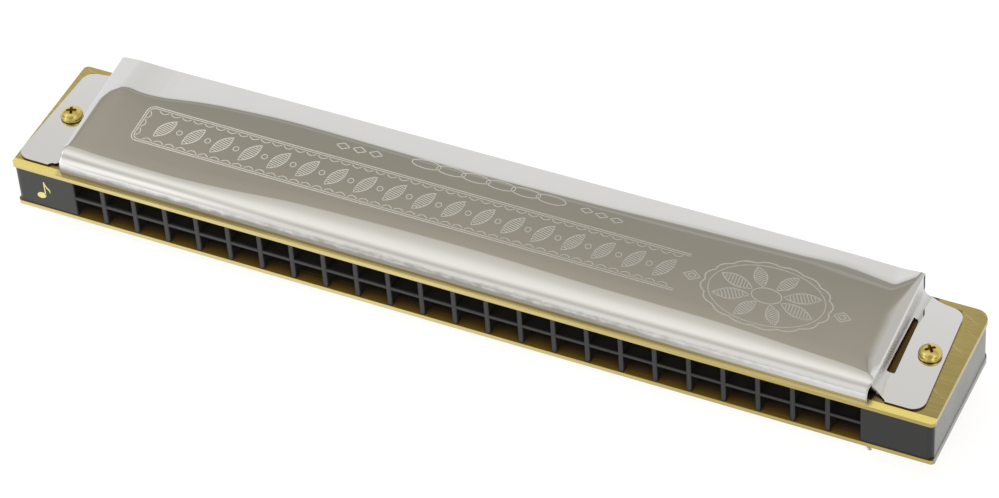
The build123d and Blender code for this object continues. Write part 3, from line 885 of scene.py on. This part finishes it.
class Ornament:
    """Thin raised lines that follow the upper cover, gathered into one mesh."""

    def __init__(self):
        self.bm = bmesh.new()

    def line(self, points, width=LINE_WIDTH, closed=False):
        """A ribbon along (x, in) points, as a closed strip with flat ends, or a ring."""
        spots = [Vector(p) for p in points]
        count = len(spots)
        rings = []
        for i, spot in enumerate(spots):
            before = spots[i - 1] if i or closed else spot
            after = spots[(i + 1) % count] if i < count - 1 or closed else spot
            along = (after - before).normalized()
            aside = Vector((-along.y, along.x)) * width / 2
            ring = []
            for place, lift in ((spot + aside, 1), (spot - aside, 1), (spot - aside, 0), (spot + aside, 0)):
                z = cover_height(place.x, place.y) + (LINE_PROUD if lift else -LINE_SINK)
                ring.append(self.bm.verts.new((place.x * MM, (FRONT_Y + place.y) * MM, z * MM)))
            rings.append(ring)
        following = rings[1:] + rings[:1] if closed else rings[1:]
        for ring, other in zip(rings, following):
            for k in range(4):
                self.bm.faces.new((ring[k], ring[k - 1], other[k - 1], other[k]))
        if not closed:
            self.bm.faces.new(rings[0])
            self.bm.faces.new(rings[-1][::-1])

    def ellipse(self, x, across, half_x, half_in, width=LINE_WIDTH, steps=24):
        points = [(x + half_x * math.cos(a), across + half_in * math.sin(a)) for a in circle(steps)]
        self.line(points, width, closed=True)

    def leaf(self, centre, tip, half_width, hatches):
        """A pointed leaf between centre - tip and centre + tip, outlined and crossed by slanting lines."""
        centre, tip = Vector(centre), Vector(tip)
        aside = Vector((-tip.y, tip.x)).normalized() * half_width
        shares = [i / 6 - 1 for i in range(13)]
        rim = [centre + tip * s + aside * (1 - s * s) for s in shares]
        back = [centre + tip * s - aside * (1 - s * s) for s in shares[::-1]]
        self.line(rim + back[1:-1], closed=True)
        for s in arc_steps(-0.86, 0.86, hatches):
            reach = 0.92 * (1 - s * s)
            slant = 0.12
            one = centre + tip * (s - slant * reach) + aside * reach
            other = centre + tip * (s + slant * reach) - aside * reach
            self.line([one, other], HATCH_WIDTH)

    def lozenge(self, x, across, half_x, half_in):
        corners = [(x - half_x, across), (x, across - half_in), (x + half_x, across), (x, across + half_in)]
        points = []
        for (xa, ya), (xb, yb) in zip(corners, corners[1:] + corners[:1]):
            points += [(xa + (xb - xa) * t, ya + (yb - ya) * t) for t in (0.04, 0.35, 0.65, 0.96)]
        self.line(points, closed=True)

    def piece(self):
        face_outwards(self.bm)
        new_piece("cover_ornament", self.bm, ("etched",))


def frame_path(inset, open_end):
    """The border's course, open at its right end: along the rear, round the left end, along the front."""
    left = FRAME_LEFT + inset
    rear = FRAME_REAR_IN - inset
    front = FRAME_FRONT_IN + inset
    radius = FRAME_CORNER - inset / 2
    run = [open_end - (open_end - left - radius) * i / 30 for i in range(30)]
    points = [(x, rear) for x in run]
    points += rounded_corner((left, rear), (open_end, rear), (left, front), radius, 8)
    points += rounded_corner((left, front), (left, rear), (open_end, front), radius, 8)
    return points + [(x, front) for x in run[::-1]]


def scallops(ornament):
    """A row of small arcs inside the border, bulging towards its middle."""
    depth = 0.5
    inset = 0.75
    spans = []
    count = round((FRAME_RIGHT - FRAME_LEFT - 4) / SCALLOP_PITCH)
    for i in range(count):
        x = FRAME_LEFT + 2.4 + i * SCALLOP_PITCH
        end_x = x + SCALLOP_PITCH * 0.84
        spans.append(((x, FRAME_FRONT_IN + inset), (end_x, FRAME_FRONT_IN + inset), (0, depth)))
        spans.append(((x, FRAME_REAR_IN - inset), (end_x, FRAME_REAR_IN - inset), (0, -depth)))
    for i in range(3):
        across = FRAME_FRONT_IN + 1.25 + i * 2.2
        spans.append(((FRAME_LEFT + inset, across), (FRAME_LEFT + inset, across + 1.85), (depth, 0)))
    for start, stop, bulge in spans:
        points = []
        for i in range(8):
            t = i / 7
            rise = math.sin(math.pi * t)
            points.append(tuple(a + (b - a) * t + c * rise for a, b, c in zip(start, stop, bulge)))
        ornament.line(points, HATCH_WIDTH)


def make_ornament():
    """A generic border with a row of hatched leaves and beads, small lozenges behind it, and a rosette."""
    ornament = Ornament()
    ornament.line(frame_path(0.0, FRAME_RIGHT))
    ornament.line(frame_path(0.42, FRAME_RIGHT), HATCH_WIDTH)
    scallops(ornament)
    leaf_pitch = 5.9
    middle_in = (FRAME_FRONT_IN + FRAME_REAR_IN) / 2
    for i in range(18):
        x = FRAME_LEFT + 5.4 + i * leaf_pitch
        ornament.leaf((x, middle_in), (1.35, 2.35), 1.15, 10)
        if i < 17:
            ornament.ellipse(x + leaf_pitch / 2, middle_in, 0.55, 0.55, HATCH_WIDTH, 12)
    for x, across in ((-31.8, 21.15), (-28.5, 21.25), (-25.2, 21.3)):
        ornament.lozenge(x, across, 1.35, 0.75)
    for i in range(6):
        ornament.ellipse(-15.3 + i * 5.0, 22.1 - i * 0.06, 2.9, 0.95)
    for x, across in ((16.8, 21.6), (19.8, 21.4), (22.8, 21.2)):
        ornament.lozenge(x, across, 1.25, 0.6)
    make_rosette(ornament, 54.6, 13.9)
    ornament.piece()


def make_rosette(ornament, x, across):
    """A flattened rosette: scalloped rim, two rings and eight hatched petals, crossed by lozenges."""
    half_x = 11.6
    half_in = 7.0
    rim = []
    for angle in circle(128):
        reach = 1 + 0.05 * abs(math.sin(8 * angle))
        rim.append((x + half_x * reach * math.cos(angle), across + half_in * reach * math.sin(angle)))
    ornament.line(rim, 0.26, closed=True)
    ornament.ellipse(x, across, half_x * 0.93, half_in * 0.93, HATCH_WIDTH, 64)
    ornament.ellipse(x, across, half_x * 0.24, half_in * 0.24, LINE_WIDTH, 32)
    for i in range(8):
        angle = math.tau * (i + 0.5) / 8
        way = Vector((half_x * math.cos(angle), half_in * math.sin(angle)))
        centre = Vector((x, across)) + way * 0.58
        ornament.leaf(centre, way * 0.3, 1.15, 9)
    for side in (-1, 1):
        ornament.lozenge(x + side * half_x * 1.22, across, 1.6, 1.1)
        ornament.lozenge(x + side * half_x * 1.22, across, 0.8, 0.55)


# ---- screws ----
def screw_profile():
    """Outline of a screw from the crown's middle down to the point: (radius, height over its seat)."""
    dome = SCREW_HEIGHT - SCREW_RIM_HEIGHT
    points = []
    for angle in arc_steps(math.pi / 2, 0.0, 16):
        points.append((SCREW_HEAD_RADIUS * math.cos(angle), SCREW_RIM_HEIGHT + dome * math.sin(angle)))
    points += [
        (SCREW_HEAD_RADIUS, 0.12),
        (SCREW_HEAD_RADIUS - 0.12, 0.0),
        (SCREW_SHANK_RADIUS, 0.0),
        (SCREW_SHANK_RADIUS, 1.0 - SCREW_LENGTH),
        (SCREW_SHANK_RADIUS * 0.3, -SCREW_LENGTH),
    ]
    return points


def lathe(bm, profile, centre, up, steps=48):
    """Closed solid of revolution about an upright line; up is 1 or -1."""
    x, y, seat = centre
    crown = bm.verts.new((x * MM, y * MM, (seat + up * SCREW_HEIGHT) * MM))
    rings = []
    for radius, height in profile:
        ring = []
        for angle in circle(steps):
            place = (x + radius * math.cos(angle), y + radius * math.sin(angle), seat + up * height)
            ring.append(bm.verts.new([value * MM for value in place]))
        rings.append(ring)
    for k in range(steps):
        bm.faces.new((crown, rings[0][k], rings[0][k - 1]))
    for ring, other in zip(rings, rings[1:]):
        for k in range(steps):
            bm.faces.new((ring[k], other[k], other[k - 1], ring[k - 1]))
    bm.faces.new(rings[-1])


def cross_cutter(bm, centre, up, turn):
    """Tapered cross that cuts a screw's recess: two wedges narrowing downwards."""
    x, y, seat = centre
    for arm in (0.0, math.pi / 2):
        along = Vector((math.cos(turn + arm), math.sin(turn + arm)))
        aside = Vector((-along.y, along.x))
        corners = []
        for depth, half_length, half_width in (RECESS_MOUTH, RECESS_FLOOR):
            z = seat + up * (SCREW_HEIGHT + depth)
            for s, t in ((-1, -1), (1, -1), (1, 1), (-1, 1)):
                spot = Vector((x, y)) + along * s * half_length + aside * t * half_width
                corners.append(bm.verts.new((spot.x * MM, spot.y * MM, z * MM)))
        top, base = corners[:4], corners[4:]
        bm.faces.new(top)
        bm.faces.new(base[::-1])
        for k in range(4):
            bm.faces.new((top[k], top[k - 1], base[k - 1], base[k]))


def make_screws():
    """Four cover screws in one piece, with their recesses cut by a cross."""
    heads = bmesh.new()
    crosses = bmesh.new()
    for up in (1, -1):
        seat = MID_LEVEL + up * (PLATE_TOP + SHEET - MID_LEVEL)
        for x, turn in zip(SCREW_XS, SCREW_TURNS):
            lathe(heads, screw_profile(), (x, SCREW_Y, seat), up)
            cross_cutter(crosses, (x, SCREW_Y, seat), up, turn)
    face_outwards(heads)
    face_outwards(crosses)
    piece = new_piece("cover_screw_set", heads, ("screw", "recess"))
    mesh = bpy.data.meshes.new("cross_cutter")
    crosses.to_mesh(mesh)
    crosses.free()
    cutter = bpy.data.objects.new("cross_cutter", mesh)
    bpy.context.scene.collection.objects.link(cutter)
    mesh.materials.append(MATERIALS["recess"])
    carve = piece.modifiers.new("recess", "BOOLEAN")
    carve.operation = "DIFFERENCE"
    carve.object = cutter
    carve.solver = "EXACT"
    carve.use_self = True
    carve.material_mode = "TRANSFER"
    settle(piece)
    bpy.data.objects.remove(cutter)
    sharpen(piece.data)
    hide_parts("cover_screws")


# ---- mark on the comb ----
MARK_X = -85.0
MARK_PROUD = 0.03


def make_mark():
    """A small gilt quaver on the left block, where such instruments show their key."""
    bm = bmesh.new()
    face_y = comb_low.y

    def plate(points):
        """Thin plate proud of the comb's front, from an outline of (x, z) offsets."""
        loops = []
        for proud in (MARK_PROUD, -MARK_PROUD):
            y = face_y - proud
            loops.append([bm.verts.new(((MARK_X + x) * MM, y * MM, (MID_LEVEL + z) * MM)) for x, z in points])
        near, far = loops
        bm.faces.new(near)
        bm.faces.new(far[::-1])
        for k in range(len(points)):
            bm.faces.new((near[k], near[k - 1], far[k - 1], far[k]))

    head = []
    lean = math.radians(24)
    for angle in circle(24):
        u, v = math.cos(angle), 0.72 * math.sin(angle)
        x = -0.45 + u * math.cos(lean) - v * math.sin(lean)
        head.append((x, -1.35 + u * math.sin(lean) + v * math.cos(lean)))
    plate(head)
    plate([(0.28, -1.2), (0.52, -1.2), (0.52, 2.2), (0.28, 2.2)])
    outer = curve_points((0.52, 2.2), (0.75, 1.2), (1.35, 0.75))
    outer += curve_points((1.35, 0.75), (1.75, 0.3), (1.45, -0.45))
    inner = curve_points((1.45, -0.45), (1.5, 0.1), (1.1, 0.45))
    inner += curve_points((1.1, 0.45), (0.7, 0.8), (0.52, 1.45))
    plate([(0.52, 2.2)] + outer + inner)
    face_outwards(bm)
    new_piece("note_mark", bm, ("gilt",))


# ---- studio ----
CAMERA_POSITION = (250.0, -465.5, 525.5)
CAMERA_TARGET = (2.3, 0.0, 13.6)
CAMERA_ROLL = math.radians(-4.73)
CAMERA_LENS = 146.5
FLOOR_HALF = 3.0
FLOOR_GLOW = 0.76

# Angle over the rear horizon in degrees, brightness, and how much blue is missing.
STUDIO_CARDS = [
    (0, 0.92, 0.0), (46.2, 0.92, 0.02), (47.5, 0.84, 0.05), (50.0, 0.76, 0.08), (50.6, 0.385, 0.16),
    (53.6, 0.37, 0.17), (54.3, 0.47, 0.16), (55.3, 0.455, 0.16), (56.2, 0.35, 0.21), (57.0, 0.355, 0.24),
    (58.2, 0.44, 0.24), (61.0, 0.48, 0.24), (62.5, 0.69, 0.16), (70.0, 0.73, 0.13), (77.0, 0.78, 0.11),
    (83.0, 0.86, 0.11), (90.0, 0.98, 0.1), (97.0, 1.06, 0.09), (104.0, 1.1, 0.09), (116.0, 0.84, 0.1),
    (130.0, 0.655, 0.1), (150.0, 0.95, 0.08), (180.0, 0.85, 0.05),
]

# Colour of the card at the right, and how far a direction leans right (-1 to 1) where it starts and is full.
SIDE_CARD = (0.66, 0.64, 0.6)
SIDE_CARD_FROM = -0.16
SIDE_CARD_FULL = 0.1

# On the mouth side, brightness by how far a direction leans right. It takes effect past this height angle.
MOUTHWARD_FROM = math.radians(95.0)
MOUTHWARD_BLUR = 1 / 6
SIDEWAYS_PEAK = 1.9
SIDEWAYS_CARDS = [
    (-1.0, 0.4), (-0.75, 1.1), (-0.6, 1.9), (-0.5, 1.3), (-0.46, 1.0), (-0.15, 1.0), (0.0, 0.65),
    (0.42, 0.65), (0.58, 1.5), (0.7, 1.6), (0.85, 0.6), (1.0, 0.5),
]


def studio_world():
    """Surroundings as long cards beside the instrument: brightness by how high a direction stands over Y."""
    world = bpy.data.worlds.new("studio")
    bpy.context.scene.world = world
    world.use_nodes = True
    n = Nodes(world.node_tree)
    x, y, z = n.split(n.new("ShaderNodeTexCoord").outputs["Generated"])
    height = n.math("ARCTAN2", z, y)
    cards = []
    for degrees, value, warmth in STUDIO_CARDS:
        cards.append((degrees / 180, (value, value * (1 - 0.3 * warmth), value * (1 - warmth))))
    colour = n.ramp(n.math("DIVIDE", height, math.pi), cards)
    beside = n.remap(x, SIDE_CARD_FROM, SIDE_CARD_FULL)
    colour = n.mix(beside, colour, SIDE_CARD, "LIGHTEN")
    sideways = []
    for lean, value in SIDEWAYS_CARDS:
        sideways.append((lean / 2 + 0.5, (value / SIDEWAYS_PEAK,) * 3))
    share = n.ramp(n.math("MULTIPLY_ADD", x, 0.5, 0.5), sideways)
    change = n.math("MULTIPLY_ADD", share, SIDEWAYS_PEAK, -1.0)
    mouthward = n.remap(height, MOUTHWARD_FROM, MOUTHWARD_FROM + MOUTHWARD_BLUR)
    strength = n.math("MULTIPLY_ADD", change, mouthward, 1.0)
    background = n.new("ShaderNodeBackground", Color=colour, Strength=strength)
    n.new("ShaderNodeOutputWorld", Surface=background.outputs[0])


def studio_lights():
    """A broad soft light that fills in the floor; the mirror-like parts see only the cards."""
    light = bpy.data.lights.new("soft_fill", "SUN")
    light.energy = 0.8
    light.angle = math.radians(80)
    lamp = bpy.data.objects.new("soft_fill", light)
    lamp.rotation_euler = (math.radians(8), math.radians(-8), 0)
    lamp.visible_glossy = False
    bpy.context.scene.collection.objects.link(lamp)


def studio_floor():
    """Plain pale floor at the level that the instrument stands on."""
    mesh = bpy.data.meshes.new("floor")
    corners = [(x * FLOOR_HALF, y * FLOOR_HALF, cad_low.z) for x, y in ((-1, -1), (1, -1), (1, 1), (-1, 1))]
    mesh.from_pydata(corners, [], [(0, 1, 2, 3)])
    floor = bpy.data.objects.new("floor", mesh)
    mesh.materials.append(floor_material())
    bpy.context.scene.collection.objects.link(floor)


def studio_camera():
    """Camera in front of the mouth side, to the right and above, turned a little about its own axis."""
    data = bpy.data.cameras.new("camera")
    data.sensor_width = 36.0
    data.lens = CAMERA_LENS
    data.clip_start = 0.01
    data.clip_end = 20.0
    camera = bpy.data.objects.new("camera", data)
    position = Vector(CAMERA_POSITION) * MM
    target = Vector(CAMERA_TARGET) * MM
    forward = (target - position).normalized()
    side = forward.cross(Vector((0, 0, 1))).normalized()
    up = side.cross(forward)
    right = side * math.cos(CAMERA_ROLL) + up * math.sin(CAMERA_ROLL)
    up = up * math.cos(CAMERA_ROLL) - side * math.sin(CAMERA_ROLL)
    turn = Matrix((right, up, -forward)).transposed()
    camera.matrix_world = Matrix.Translation(position) @ turn.to_4x4()
    bpy.context.scene.collection.objects.link(camera)
    bpy.context.scene.camera = camera


bpy.context.scene.view_settings.view_transform = "Standard"
studio_world()
studio_lights()
studio_floor()
studio_camera()
finish_cad_nodes()
cover_piece("upper_cover_sheet", "upper_cover", False)
cover_piece("lower_cover_sheet", "lower_cover", True)
make_ornament()
make_screws()
make_mark()
